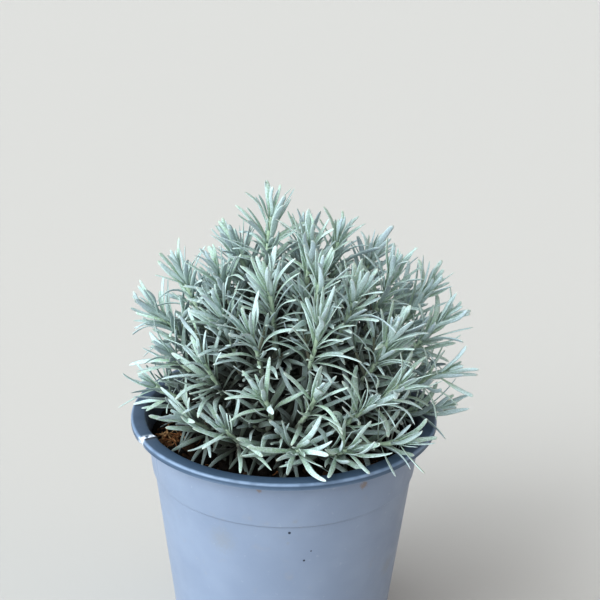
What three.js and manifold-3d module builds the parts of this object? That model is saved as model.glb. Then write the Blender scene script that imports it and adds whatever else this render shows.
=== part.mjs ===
// A potted curry plant: a dome of silvery, needle-leaved shoots in a plastic nursery pot.
// Millimetres, +Z up. The origin is the centre of the pot's underside.
// The row's front is -Y: headings are degrees round +Z from there, positive towards +X.

import * as THREE from "three";
import { mergeVertices } from "three/addons/utils/BufferGeometryUtils.js";
import Module from "manifold-3d";

const wasm = await Module();
wasm.setup();

// Pot
const RIM_RADIUS = 70;
const POT_HEIGHT = 125;
const WALL = 1.2;
const LIP_WIDTH = 6.4;
const LIP_THICKNESS = 1.3;
const LIP_ROUND = 0.7;
const LIP_FILLET = 1.9;
const SKIRT_THICKNESS = 1;
const SKIRT_DROP = 2.9;
const LEDGE_BELOW_RIM = 25.7;
const LEDGE_RADIUS = 60;
const LEDGE_STEP = 0.8;
const LEDGE_RAMP = 0.6;
const NECK_RADIUS = 63.4;
const FOOT_RADIUS = 48.7;
const FOOT_WIDTH = 6;
const FOOT_ROUND = 1.5;
const FLOOR_LIFT = 2;
const CENTRE_PAD_RADIUS = 22;
const POT_SIDES = 40;
const DRAIN_COUNT = 6;
const DRAIN_RADIUS = 4.5;
const DRAIN_RING_RADIUS = 32;
const DRAIN_SIDES = 10;

// Soil
const GAP = 0.3;
const SOIL_CLEARANCE = 0.75;
const SOIL_BELOW_RIM = 11;
const SOIL_SIDES = 30;
const SOIL_RINGS = 5;
const SOIL_BUMP = 1.1;

// The plant's dome: the shoots' hearts lie on this half ellipsoid over the rim plane
const DOME_CENTRE = [9, -2];
const DOME_RADII = [60, 57, 84];
const CROWN_RADIUS = 39;

// Stems: three-sided, with one leaf growing out of each band of the leafy stretch
const STEM_FOOT_RADIUS = 1.8;
const STEM_TOP_RADIUS = 1.25;
const STEM_ROOT_DEPTH = 5;
const STEM_COLLAR = 1.6;
const BARE_BANDS = 3;
const LEAST_BARE = 4;
const LEADER_LENGTH = 14;

// Leaves, from the lowest to the topmost of a shoot
const GOLDEN_ANGLE = 137.508;
const LEAVES_PER_SHOOT = 19;
const LEAF_PITCH = 2.6;
const LEAF_WIDTH = 2.5;
const LEAF_THICKNESS = 1;
const ELBOW_SHARE = 0.6;
const LEAF_LENGTHS = [21, 26, 18];
const LEAST_LENGTH_SHARE = 0.65;
const LEAF_OPENINGS = [60, 15];
const LEAST_OPENING = 12;
const LEAF_BENDS = [26, 6];
const LEAF_CLEARANCE = 0.35;
const SISTER_CLEARANCE = 0.12;
const SISTER_ROOT_GAP = 1.5;
const ROOT_FLARE = 0.7;
const ROOT_SHARE = 0.25;
const RIM_ROOM = 2;
const TRIES = 200;
const SEED = 4127;

// Shoots that give the dome its face: x, y, height over the rim, tilt and heading of the tip
const FACE_SHOOTS = [
  [-7, 3, 91, 6, 100],
  [10, -12, 82, 8, 10],
  [-23, 10, 73, 32, -95],
  [23, 12, 77, 14, 70],
  [-29, -7, 67, 22, -85],
  [14, -30, 73, 12, 20],
  [-7, -31, 70, 16, -40],
  [-46, 6, 61, 26, -105],
  [29, -29, 66, 18, 50],
  [46, 0, 66, 14, 60],
  [62, 5, 56, 30, 88],
  [-27, -27, 57, 20, -60],
  [14, -42, 57, 14, 30],
  [-14, -41, 53, 24, -50],
  [-57, 2, 45, 48, -88],
  [44, -31, 48, 20, 50],
  [69, -2, 44, 42, 88],
  [-50, -12, 31, 50, -85],
  [-34, -34, 37, 30, -65],
  [-9, -52, 31, 34, -55],
  [48, -38, 30, 36, 70],
  [33, -49, 24, 36, 65],
  [13, -53, 31, 28, 30],
  [70, -15, 26, 58, 80],
  [-58, -8, 14, 60, -85],
  [-24, -49, 13, 42, -60],
  [-41, -33, 10, 58, -72],
  [6, -58, 9, 62, -2],
  [26, -55, 8, 50, 50],
  [49, -43, 6, 64, 66],
  [69, -8, 5, 66, 88],
];

// Shoots behind them, in rows round the back: polar angle from the dome's top, and how many
const BACK_ROWS = [[22, 1], [40, 3], [57, 5], [71, 6], [83, 8]];
const BACK_FROM = 104;
const BACK_TO = 256;
const BACK_TILT_SHARE = 0.75;

const POT_COLOUR = 0x93a6c4;
const SOIL_COLOUR = 0x33261d;
const LEAF_COLOUR = 0x9db5a6;

const radians = THREE.MathUtils.degToRad;
const UP = new THREE.Vector3(0, 0, 1);
const TWIST = GOLDEN_ANGLE - 120;
const SOIL_LEVEL = POT_HEIGHT - SOIL_BELOW_RIM;
const NECK_Z = POT_HEIGHT - SKIRT_DROP;
const LEDGE_Z = POT_HEIGHT - LEDGE_BELOW_RIM;
const FLOOR_Z = FLOOR_LIFT + WALL;

// Seeded draws from 0 to 1
function randomSource(seed) {
  let state = seed | 0;
  return () => {
    state = (state + 0x6d2b79f5) | 0;
    let t = Math.imul(state ^ (state >>> 15), 1 | state);
    t = (t + Math.imul(t ^ (t >>> 7), 61 | t)) ^ t;
    return ((t ^ (t >>> 14)) >>> 0) / 4294967296;
  };
}

function mix(low, high, share) {
  return low + (high - low) * share;
}

function eitherWay(draw, amount) {
  return amount * (2 * draw() - 1);
}

// Meshes and solids
function solidOf(geometry) {
  geometry.deleteAttribute("normal");
  geometry.deleteAttribute("uv");
  const merged = mergeVertices(geometry, 1e-4);
  return new wasm.Manifold(new wasm.Mesh({
    numProp: 3,
    vertProperties: new Float32Array(merged.attributes.position.array),
    triVerts: new Uint32Array(merged.index.array),
  }));
}

function geometryOf(solid) {
  const mesh = solid.getMesh();
  const geometry = new THREE.BufferGeometry();
  geometry.setAttribute("position", new THREE.BufferAttribute(mesh.vertProperties, 3));
  geometry.setIndex(new THREE.BufferAttribute(mesh.triVerts, 1));
  return geometry;
}

function named(name, solid, material) {
  const mesh = new THREE.Mesh(geometryOf(solid), material);
  mesh.name = name;
  return mesh;
}

// A closed skin over rings of equal count, each anticlockwise about the way the rings run.
// The last ring is closed flat, or drawn to a point where tip is given.
function loft(rings, tip) {
  const count = rings[0].length;
  const points = rings.flat();
  const faces = [];
  for (let level = 0; level + 1 < rings.length; level++) {
    for (let side = 0; side < count; side++) {
      const next = (side + 1) % count;
      const low = level * count;
      const high = low + count;
      faces.push(low + side, low + next, high + next);
      faces.push(low + side, high + next, high + side);
    }
  }
  const last = points.length - count;
  for (let side = 1; side + 1 < count; side++) {
    faces.push(0, side + 1, side);
    if (!tip) faces.push(last, last + side, last + side + 1);
  }
  if (tip) {
    for (let side = 0; side < count; side++) {
      faces.push(last + side, last + ((side + 1) % count), points.length);
    }
    points.push(tip);
  }
  const geometry = new THREE.BufferGeometry().setFromPoints(points);
  geometry.setIndex(faces);
  return geometry;
}

function turned(points, sides) {
  const profile = points.map(([r, z]) => new THREE.Vector2(r, z));
  return new THREE.LatheGeometry(profile, sides).rotateX(Math.PI / 2);
}

// The pot's outside radius at a height, and its inside radius
function wallRadius(z) {
  if (z < LEDGE_Z) return mix(FOOT_RADIUS, LEDGE_RADIUS, z / LEDGE_Z);
  return mix(LEDGE_RADIUS + LEDGE_STEP, NECK_RADIUS, (z - LEDGE_Z) / (NECK_Z - LEDGE_Z));
}

function boreRadius(z) {
  return wallRadius(z) - WALL;
}

function pot() {
  const footInner = FOOT_RADIUS - FOOT_WIDTH;
  const underLip = POT_HEIGHT - LIP_THICKNESS;
  const profile = [
    [0, 0],
    [CENTRE_PAD_RADIUS, 0],
    [CENTRE_PAD_RADIUS + 2, FLOOR_LIFT],
    [footInner - FOOT_ROUND, FLOOR_LIFT],
    [footInner, 0],
    [FOOT_RADIUS - FOOT_ROUND / 2, 0],
    [wallRadius(FOOT_ROUND), FOOT_ROUND],
    [wallRadius(LEDGE_Z - LEDGE_RAMP), LEDGE_Z - LEDGE_RAMP],
    [wallRadius(LEDGE_Z), LEDGE_Z],
    [NECK_RADIUS, NECK_Z],
    [NECK_RADIUS + 1, underLip],
    [RIM_RADIUS - SKIRT_THICKNESS, underLip],
    [RIM_RADIUS - SKIRT_THICKNESS, NECK_Z],
    [RIM_RADIUS, NECK_Z],
    [RIM_RADIUS, POT_HEIGHT - LIP_ROUND],
    [RIM_RADIUS - LIP_ROUND, POT_HEIGHT],
    [RIM_RADIUS - LIP_WIDTH, POT_HEIGHT],
    [boreRadius(NECK_Z), POT_HEIGHT - LIP_FILLET],
    [boreRadius(LEDGE_Z), LEDGE_Z],
    [boreRadius(LEDGE_Z - LEDGE_RAMP), LEDGE_Z - LEDGE_RAMP],
    [boreRadius(FLOOR_Z), FLOOR_Z],
    [0, FLOOR_Z],
  ];
  let solid = solidOf(turned(profile, POT_SIDES));
  for (let hole = 0; hole < DRAIN_COUNT; hole++) {
    const angle = (2 * Math.PI * (hole + 0.5)) / DRAIN_COUNT;
    const drill = new THREE.CylinderGeometry(DRAIN_RADIUS, DRAIN_RADIUS, 3 * FLOOR_Z, DRAIN_SIDES);
    drill.rotateX(Math.PI / 2);
    drill.translate(DRAIN_RING_RADIUS * Math.cos(angle), DRAIN_RING_RADIUS * Math.sin(angle), FLOOR_Z / 2);
    solid = solid.subtract(solidOf(drill));
  }
  return solid;
}

// Low crumbs on the soil's top
function soilBump(x, y) {
  const coarse = Math.sin(0.23 * x + 1.1) * Math.cos(0.19 * y - 0.6);
  const fine = Math.sin(0.47 * x - 0.31 * y) * Math.cos(0.41 * y + 0.2 * x);
  return SOIL_BUMP * (0.6 * coarse + 0.4 * fine);
}

function soil(shoots) {
  const seat = (z) => boreRadius(z) - SOIL_CLEARANCE;
  const edge = seat(SOIL_LEVEL);
  const profile = [
    [0, FLOOR_Z + GAP],
    [seat(FLOOR_Z), FLOOR_Z + GAP],
    [seat(LEDGE_Z - LEDGE_RAMP), LEDGE_Z - LEDGE_RAMP - GAP],
    [edge, SOIL_LEVEL - 1],
  ];
  for (let ring = 1; ring < SOIL_RINGS; ring++) {
    profile.push([edge * (1 - ring / SOIL_RINGS), SOIL_LEVEL]);
  }
  profile.push([0, SOIL_LEVEL]);
  const geometry = turned(profile, SOIL_SIDES);
  const place = geometry.attributes.position;
  for (let i = 0; i < place.count; i++) {
    if (place.getZ(i) > SOIL_LEVEL - 0.5) {
      place.setZ(i, SOIL_LEVEL + soilBump(place.getX(i), place.getY(i)));
    }
  }
  let solid = solidOf(geometry);
  for (const shoot of shoots) {
    const foot = shoot.path[0].clone().setZ(shoot.path[0].z - GAP);
    const mouth = foot.clone().setZ(SOIL_LEVEL + 3 * SOIL_BUMP);
    const radius = STEM_FOOT_RADIUS + 2 * GAP;
    const hole = loft([foot, mouth].map((centre) => stemRing(shoot, centre, UP, radius, 0)));
    solid = solid.subtract(solidOf(hole));
  }
  return solid;
}

// A leaf's way: an angle off its stem's way, towards out
function leaning(way, out, angle) {
  return way.clone().multiplyScalar(Math.cos(angle)).addScaledVector(out, Math.sin(angle));
}

// A direction from its tilt off the vertical and its heading from the front
function direction(tilt, heading) {
  const flat = Math.sin(radians(tilt));
  return new THREE.Vector3(
    flat * Math.sin(radians(heading)), -flat * Math.cos(radians(heading)), Math.cos(radians(tilt)),
  );
}

function backShoots() {
  const draw = randomSource(SEED);
  const rows = [];
  for (const [polar, count] of BACK_ROWS) {
    for (let i = 0; i < count; i++) {
      const heading = mix(BACK_FROM, BACK_TO, (i + 0.5) / count) + eitherWay(draw, 4);
      const lean = polar + eitherWay(draw, 2);
      const out = direction(lean, heading);
      const size = 1 + eitherWay(draw, 0.04);
      rows.push([
        DOME_CENTRE[0] + size * DOME_RADII[0] * out.x,
        DOME_CENTRE[1] + size * DOME_RADII[1] * out.y,
        size * DOME_RADII[2] * out.z,
        lean * BACK_TILT_SHARE,
        heading,
      ]);
    }
  }
  return rows;
}

// The points of a stem: its root, its collar at the soil, the bare stretch and the leafy one
function stemPath(heart, tipWay) {
  const flatX = (heart.x - DOME_CENTRE[0]) / DOME_RADII[0];
  const flatY = (heart.y - DOME_CENTRE[1]) / DOME_RADII[1];
  const up = (heart.z - POT_HEIGHT) / DOME_RADII[2];
  const flat = Math.hypot(flatX, flatY);
  const spread = (CROWN_RADIUS * Math.atan2(flat, Math.max(up, 0))) / (Math.PI / 2) / flat;
  const collar = new THREE.Vector3(spread * flatX, spread * flatY, SOIL_LEVEL + STEM_COLLAR);
  const reach = collar.distanceTo(heart);
  const curve = new THREE.CubicBezierCurve3(
    collar,
    collar.clone().addScaledVector(UP, 0.3 * reach),
    heart.clone().addScaledVector(tipWay, -0.4 * reach),
    heart,
  );
  const length = curve.getLength();
  const count = Math.min(LEAVES_PER_SHOOT, Math.floor((length - LEAST_BARE) / LEAF_PITCH));
  const bare = 1 - (count * LEAF_PITCH) / length;
  const path = [collar.clone().setZ(SOIL_LEVEL - STEM_ROOT_DEPTH)];
  for (let i = 0; i < BARE_BANDS; i++) {
    path.push(curve.getPointAt((bare * i) / BARE_BANDS));
  }
  for (let i = 0; i <= count; i++) {
    path.push(curve.getPointAt(mix(bare, 1, i / count)));
  }
  return path;
}

function makeShoot([x, y, above, tilt, heading], index) {
  const heart = new THREE.Vector3(x, y, POT_HEIGHT + above);
  const path = stemPath(heart, direction(tilt, heading));
  const sideways = new THREE.Vector3(Math.cos(radians(heading)), Math.sin(radians(heading)), 0);
  return { index, path, sideways, count: path.length - 2 - BARE_BANDS, start: 71 * index, leaves: [] };
}

// Which way a stem runs at one of its points
function wayAt(path, i) {
  if (i < 2) return UP;
  const after = path[Math.min(i + 1, path.length - 1)];
  return after.clone().sub(path[i - 1]).normalize();
}

// The outward direction at an angle round a stem that runs along way
function outward(shoot, way, degrees) {
  const side = shoot.sideways.clone().addScaledVector(way, -way.dot(shoot.sideways)).normalize();
  const other = way.clone().cross(side);
  return side.multiplyScalar(Math.cos(radians(degrees))).addScaledVector(other, Math.sin(radians(degrees)));
}

// A three-cornered ring round a stem, turned on by twist from the shoot's own start
function stemRing(shoot, centre, way, radius, twist) {
  return [0, 120, 240].map((corner) => (
    centre.clone().addScaledVector(outward(shoot, way, shoot.start + twist + corner), radius)
  ));
}

// The leafy rings turn a little from each to the next, so each band's leaf, one side further
// round, follows the last by the golden angle
function stemRings(shoot) {
  return shoot.path.map((point, i) => {
    const thinness = Math.max(i - 1, 0) / (shoot.path.length - 2);
    const radius = mix(STEM_FOOT_RADIUS, STEM_TOP_RADIUS, thinness);
    const turns = Math.max(i - 1 - BARE_BANDS, 0);
    return stemRing(shoot, point, wayAt(shoot.path, i), radius, turns * TWIST);
  });
}

function threePoints(rank, [low, middle, top]) {
  return rank < 0.5 ? mix(low, middle, 2 * rank) : mix(middle, top, 2 * rank - 1);
}

// A leaf of a shoot, 0 being the lowest, on the upper half of its band's side. Its outline is
// a root, an elbow and a tip. Later tries stray further and are a little shorter.
function leafTry(shoot, rings, number, draw, attempt) {
  const rank = 1 - (shoot.count - 1 - number) / (LEAVES_PER_SHOOT - 1);
  const band = 1 + BARE_BANDS + number;
  const corner = number % 3;
  const next = (corner + 1) % 3;
  const heel = rings[band + 1][next].clone().add(rings[band + 1][corner]).add(rings[band][next]);
  heel.divideScalar(3);
  const stray = 1 + (2 * attempt) / TRIES;
  const way = wayAt(shoot.path, band);
  const turn = shoot.start + 60 + GOLDEN_ANGLE * number + TWIST / 2 + eitherWay(draw, 11 * stray);
  const usual = mix(...LEAF_OPENINGS, Math.pow(rank, 1.2));
  const open = Math.max(LEAST_OPENING, usual + eitherWay(draw, 8 * stray));
  const bend = mix(...LEAF_BENDS, rank) + eitherWay(draw, 12);
  const shortened = mix(1, LEAST_LENGTH_SHARE, attempt / TRIES);
  const length = threePoints(rank, LEAF_LENGTHS) * (1 + eitherWay(draw, 0.12)) * shortened;
  const out = outward(shoot, way, turn);
  const lowWay = leaning(way, out, radians(open));
  const highWay = leaning(way, out, radians(open + bend));
  const elbow = heel.clone().addScaledVector(lowWay, ELBOW_SHARE * length);
  const tip = elbow.clone().addScaledVector(highWay, (1 - ELBOW_SHARE) * length);
  const across = way.clone().cross(out).normalize();
  return { heel, elbow, tip, across, lowWay, highWay };
}

function elbowRing(leaf) {
  const up = leaf.lowWay.clone().add(leaf.highWay).cross(leaf.across).normalize();
  const side = leaf.across.clone().multiplyScalar(LEAF_WIDTH / 2);
  const raised = leaf.elbow.clone().addScaledVector(up, LEAF_THICKNESS / 2);
  const keel = leaf.elbow.clone().addScaledVector(up, -LEAF_THICKNESS / 2);
  return [raised.clone().add(side), raised.clone().sub(side), keel];
}

// Straight stretches of stem and leaf, for keeping each piece clear of the others
function stretch(shoot, kind, from, to, halfWidth, halfHeight, across, up) {
  const middle = from.clone().lerp(to, 0.5);
  const span = from.distanceTo(middle) + LEAF_WIDTH;
  return { shoot: shoot.index, kind, from, to, middle, span, halfWidth, halfHeight, across, up };
}

function stemStretches(shoot) {
  const around = STEM_FOOT_RADIUS + ROOT_FLARE / 2;
  const heart = shoot.path.at(-1);
  return [
    ...shoot.path.slice(1).map((to, i) => stretch(shoot, "stem", shoot.path[i], to, around)),
    stretch(shoot, "stem", heart, leaderPoint(shoot, 1), STEM_TOP_RADIUS),
  ];
}

function leafStretches(shoot, leaf) {
  const { heel, elbow, tip, across, lowWay, highWay } = leaf;
  const width = LEAF_WIDTH / 2;
  const height = LEAF_THICKNESS / 2;
  const knee = heel.clone().lerp(elbow, ROOT_SHARE);
  const lowUp = lowWay.clone().cross(across);
  return [
    stretch(shoot, "root", heel, knee, width, LEAF_PITCH / 2, across, lowUp),
    stretch(shoot, "low", knee, elbow, width, height, across, lowUp),
    stretch(shoot, "high", elbow, tip, width, height, across, highWay.clone().cross(across)),
  ];
}

// A point on the leader, the bud's spike beyond the heart
function leaderPoint(shoot, share) {
  const way = wayAt(shoot.path, shoot.path.length - 1);
  return shoot.path.at(-1).clone().addScaledVector(way, share * LEADER_LENGTH);
}

// How far a stretch's section reaches along a direction
function reachAlong(piece, way) {
  if (piece.kind === "stem") return piece.halfWidth;
  return piece.halfWidth * Math.abs(piece.across.dot(way)) + piece.halfHeight * Math.abs(piece.up.dot(way));
}

// The shortest link between two straight stretches
function linkBetween(p, q) {
  const mine = p.to.clone().sub(p.from);
  const along = q.to.clone().sub(q.from);
  const offset = p.from.clone().sub(q.from);
  const a = mine.dot(mine);
  const b = mine.dot(along);
  const c = mine.dot(offset);
  const e = along.dot(along);
  const f = along.dot(offset);
  const clamp = THREE.MathUtils.clamp;
  const first = clamp((b * f - c * e) / Math.max(a * e - b * b, 1e-9), 0, 1);
  const t = clamp((b * first + f) / e, 0, 1);
  const s = clamp((b * t - c) / a, 0, 1);
  return q.from.clone().addScaledVector(along, t).sub(p.from.clone().addScaledVector(mine, s));
}

// Sister leaves spread from one stem, so by it they may close up
function isClear(piece, others) {
  return others.every((other) => {
    const sisters = other.shoot === piece.shoot;
    const kinds = [piece.kind, other.kind];
    const byStem = sisters && !kinds.includes("high");
    if (byStem && other.kind === "stem") return true;
    if (piece.middle.distanceTo(other.middle) > piece.span + other.span) return true;
    const link = linkBetween(piece, other);
    const distance = link.length();
    if (byStem && kinds.includes("root")) return distance > SISTER_ROOT_GAP;
    link.divideScalar(Math.max(distance, 1e-6));
    const clearance = sisters ? SISTER_CLEARANCE : LEAF_CLEARANCE;
    return distance - reachAlong(piece, link) - reachAlong(other, link) >= clearance;
  });
}

// Leaves stay over the soil, and pass over the rim where they reach it
function clearsPot(piece) {
  const thickness = reachAlong(piece, UP) + LEAF_CLEARANCE;
  return [0.2, 0.4, 0.6, 0.8, 1].every((share) => {
    const point = piece.from.clone().lerp(piece.to, share);
    const radius = Math.hypot(point.x, point.y);
    const underside = point.z - thickness;
    if (radius < RIM_RADIUS && underside < SOIL_LEVEL + soilBump(point.x, point.y)) return false;
    const byTheRim = radius > boreRadius(SOIL_LEVEL) - RIM_ROOM && radius < RIM_RADIUS + RIM_ROOM;
    return !byTheRim || underside > POT_HEIGHT;
  });
}

// Topmost leaves are placed first, on all shoots, and the lowest last
function growLeaves(shoots) {
  const placed = shoots.flatMap(stemStretches);
  for (let below = 0; below < LEAVES_PER_SHOOT; below++) {
    for (const shoot of shoots) {
      const number = shoot.count - 1 - below;
      if (number < 0) continue;
      const rings = stemRings(shoot);
      const draw = randomSource(SEED + 1000 * shoot.index + number);
      for (let attempt = 0; attempt < TRIES; attempt++) {
        const leaf = leafTry(shoot, rings, number, draw, attempt);
        const pieces = leafStretches(shoot, leaf);
        if (pieces.every((piece) => clearsPot(piece) && isClear(piece, placed))) {
          placed.push(...pieces);
          shoot.leaves[number] = leaf;
          break;
        }
      }
    }
  }
}

// A stem's skin, with each leaf drawn out of the upper half of its band's side
function shootGeometry(shoot) {
  const rings = stemRings(shoot);
  const points = rings.flat();
  const faces = [0, 2, 1];
  const wall = (low, high) => {
    for (let side = 0; side < 3; side++) {
      const next = (side + 1) % 3;
      faces.push(low[side], low[next], high[side], low[next], high[next], high[side]);
    }
  };
  const point = (ring, tip) => {
    ring.forEach((corner, side) => faces.push(corner, ring[(side + 1) % 3], points.length));
    points.push(tip);
  };
  const ringAt = (level) => [3 * level, 3 * level + 1, 3 * level + 2];
  const addRing = (ring) => {
    points.push(...ring);
    return [points.length - 3, points.length - 2, points.length - 1];
  };
  for (let level = 0; level + 1 < rings.length; level++) {
    const leaf = shoot.leaves[level - 1 - BARE_BANDS];
    const low = ringAt(level);
    const high = ringAt(level + 1);
    wall(low, high);
    if (!leaf) continue;
    const corner = (level - 1 - BARE_BANDS) % 3;
    const next = (corner + 1) % 3;
    const upperHalf = faces.length - 3 * (2 * (3 - corner) - 1);
    faces.splice(upperHalf, 3);
    const elbow = addRing(elbowRing(leaf));
    wall([high[next], high[corner], low[next]], elbow);
    point(elbow, leaf.tip);
  }
  const topWay = wayAt(shoot.path, shoot.path.length - 1);
  const turns = shoot.count * TWIST;
  const bud = addRing(stemRing(shoot, leaderPoint(shoot, 0.5), topWay, STEM_TOP_RADIUS, turns));
  wall(ringAt(rings.length - 1), bud);
  point(bud, leaderPoint(shoot, 1));
  const geometry = new THREE.BufferGeometry().setFromPoints(points);
  geometry.setIndex(faces);
  return geometry;
}

const plastic = new THREE.MeshStandardMaterial({ color: POT_COLOUR, roughness: 0.45, metalness: 0 });
const peat = new THREE.MeshStandardMaterial({ color: SOIL_COLOUR, roughness: 0.95, metalness: 0 });
const foliage = new THREE.MeshStandardMaterial({ color: LEAF_COLOUR, roughness: 0.8, metalness: 0 });

const plant = new THREE.Group();
const shoots = [...FACE_SHOOTS, ...backShoots()].map(makeShoot);
growLeaves(shoots);
plant.add(named("pot", pot(), plastic));
plant.add(named("soil", soil(shoots), peat));
for (const shoot of shoots) {
  const number = String(shoot.index + 1).padStart(2, "0");
  plant.add(named(`stem_${number}`, solidOf(shootGeometry(shoot)), foliage));
}

export default plant;
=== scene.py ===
import math

import bmesh
import bpy
import numpy as np
from mathutils import Matrix, Vector
from mathutils.kdtree import KDTree


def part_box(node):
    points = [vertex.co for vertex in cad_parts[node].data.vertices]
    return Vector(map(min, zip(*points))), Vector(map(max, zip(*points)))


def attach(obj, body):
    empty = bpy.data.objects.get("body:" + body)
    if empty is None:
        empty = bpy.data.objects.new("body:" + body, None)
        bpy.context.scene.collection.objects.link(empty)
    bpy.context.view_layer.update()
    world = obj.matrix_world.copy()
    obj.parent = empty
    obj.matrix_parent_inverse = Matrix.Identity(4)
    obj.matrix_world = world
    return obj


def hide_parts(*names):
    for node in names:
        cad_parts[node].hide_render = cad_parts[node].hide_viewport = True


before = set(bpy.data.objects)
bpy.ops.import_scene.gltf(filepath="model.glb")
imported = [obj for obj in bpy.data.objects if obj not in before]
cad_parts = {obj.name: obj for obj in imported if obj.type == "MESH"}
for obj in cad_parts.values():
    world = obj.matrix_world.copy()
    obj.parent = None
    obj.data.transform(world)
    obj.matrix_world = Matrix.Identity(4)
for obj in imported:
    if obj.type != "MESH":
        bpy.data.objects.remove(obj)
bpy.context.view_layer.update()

# A potted curry plant. The frame holds its pot, its soil and its leafy stems as plain solids;
# here each stem's leaves are read off its solid and made finely, with the leaves between them,
# and the pot and the soil get their fine surfaces. Lengths are in millimetres until a mesh is made.
MM = 0.001
SEED = 4127

# Camera, as the photograph's was
CAMERA_PLACE = (1.7, -474.0, 353.8)
CAMERA_PITCH = 20.29
CAMERA_YAW = 0.56
CAMERA_ROLL = 1.06
CAMERA_LENS = 68.2
CAMERA_SENSOR = 36

# Soft far lights: name, the direction that each shines from, strength, spread in degrees and colour
LIGHTS = [
    ("key", (-0.88, -0.33, 0.62), 2.05, 60, (0.93, 0.98, 1.0)),
    ("front", (-0.5, -0.83, 0.38), 2.05, 70, (0.97, 1.0, 1.0)),
    ("side", (0.95, -0.2, 0.3), 0.38, 60, (1.0, 0.62, 0.30)),
]
WORLD_COLOUR = (0.92, 0.94, 0.97)
WORLD_STRENGTH = 0.46
FLOOR_COLOUR = (0.50, 0.495, 0.48)
FLOOR_HALF_METRES = 6.0
EXPOSURE = 0.57
GAMMA = 0.8

# Pot
LIP_WIDTH = 6.4
LIP_THICKNESS = 1.3
SKIRT_THICKNESS = 1.0
SKIRT_DROP = 2.9
WALL = 1.2
LEDGE_BELOW_RIM = 25.7
LEDGE_RADIUS = 60.0
LEDGE_STEP = 0.8
NECK_RADIUS = 63.4
FOOT_RADIUS = 48.7
FOOT_WIDTH = 6.0
FLOOR_LIFT = 2.0
CENTRE_PAD_RADIUS = 22.0
DRAIN_COUNT = 6
DRAIN_RADIUS = 4.5
DRAIN_RING_RADIUS = 32.0
DRAIN_SIDES = 32
POT_TURNS = 180
OUTLINE_STEP = 12
LIP_EASE = 1.3
LIP_WAVINESS = 0.25

# The lip's crease: heading, widths and spans in degrees, and how high over the rim no leaf covers it
CREASE_HEADING = -64.0
CREASE_DEPTH = 1.5
CREASE_SINK = 0.6
CREASE_WIDTH = 4.0
CREASE_BACK_WIDTH = 0.5
CREASE_SPAN = 9
CREASE_STEPS = 61
CREASE_CLEARANCE = 14.0
CREASE_CLEAR_HEIGHT = 20

# Marks on the pot's wall: heading, height and radius
SPECKS = [
    (3.0, 96.0, 0.8),
    (9.5, 81.0, 0.65),
    (12.3, 85.8, 0.45),
    (-2.0, 48.0, 0.5),
    (141.0, 70.0, 0.6),
]
SMUDGES = [
    (5.0, 102.2, 1.7),
    (2.5, 90.8, 1.2),
    (-26.0, 88.0, 9.0),
    (60.0, 60.0, 7.0),
    (-160.0, 90.0, 8.0),
]
DIRT = [
    (-8.9, 117.4, 1.5),
    (33.0, 115.5, 2.6),
    (110.0, 117.0, 2.0),
    (-135.0, 116.5, 2.4),
]

# Soil
SOIL_RINGS = 60
SOIL_TURNS = 180
SOIL_GAP = 0.35
CRUMBS = 900
FIBRES = 90
COIR_PLACE = (-54.0, -14.0)
COIR_SPREAD = 4.0
COIR_FIBRES = 50

# What the soil's bodies are, for its material: peat up to 0.6, brown coir at 1.6, pale coir at 2
BED_KIND = 0.3
CRUMB_KINDS = (0, 0.9)
FIBRE_KINDS = (0.8, 1.3)
COIR_KINDS = (1.1, 2.0)

# Stems
WELD_METRES = 2e-6
STEM_SIDES = 8
STEM_BUMPS = 0.14
TWIG_SIDES = 7
TWIG_RADII = (0.85, 0.6)
TWIG_STATIONS = 6

# Leaves: a shoot's ordinary ones are the solid's own, at their places
LEAF_WIDTH = 2.7
LEAF_THICKNESS = 0.7
LEAF_REACH = 1.06
ELBOW_SHARE = 0.6
LEAF_STATIONS = 11
BARE_BANDS = 3
LEAVES_PER_SHOOT = 19
GOLDEN_ANGLE = 137.508
LEAF_ROOM = 1.6
LEAF_OVER_RIM = 1.0
LEAF_OVER_SOIL = 1.5

# How unlike each other leaves are: sideways sway and wave by length, twist in degrees, uneven width
LEAF_SWAY = 0.09
LEAF_WAVE = 0.018
LEAF_TWIST = 24
LEAF_UNEVENNESS = 0.05
DRY_LEAF_LOSS = 0.45

# How far tips are bent, by leaf length, and how many old leaves curl and level ones are lifted
YOUNG_BEND = (-0.05, 0.22)
OLD_BEND = (0.04, 0.42)
CURLED_SHARE = 0.4
CURLED_BEND = (0.3, 0.65)
LIFTED_SHARE = 0.6
LIFTED_BEND = (0.12, 0.42)
BEND_POWERS = (1.8, 3.2)
BEND_SHORTENING = 0.55
BEND_EASES = (1.0, 0.6, 0.3, 0.0)

# Heights over the rim of the hearts of the sparsest shoots and of the fullest ones
SPARSE_HEART = 22.0
FULL_HEART = 50.0

# Leaves round a heart, from the first to the last: opening, length, width and foot above the heart
BUD_LEAVES = 6
BUD_OPENINGS = (26, 4)
BUD_LENGTHS = (18, 9)
BUD_WIDTHS = (2.3, 1.6)
BUD_FEET = (-3.0, 4.0)
SPARSE_BUD_SHARE = 0.65

# Leaves between the solid's own: pairs are for a sparse shoot and a full one, the old ones for both
FILL_LEAVES = (12, 34)
FILL_TRIES = 12
OLD_OPENING = 80
YOUNG_OPENINGS = (54, 24)
OPENING_SPREADS = (8, 20)
OLD_LENGTH = 25
YOUNG_LENGTHS = (22, 18)
FILL_WIDTHS = (1.8, 2.8)
LEAST_BEND = -12
MOST_BENDS = (38, 14)
BARE_STEM_PER_LEAF = 2.0
DRY_SHARE = 0.25

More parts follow.
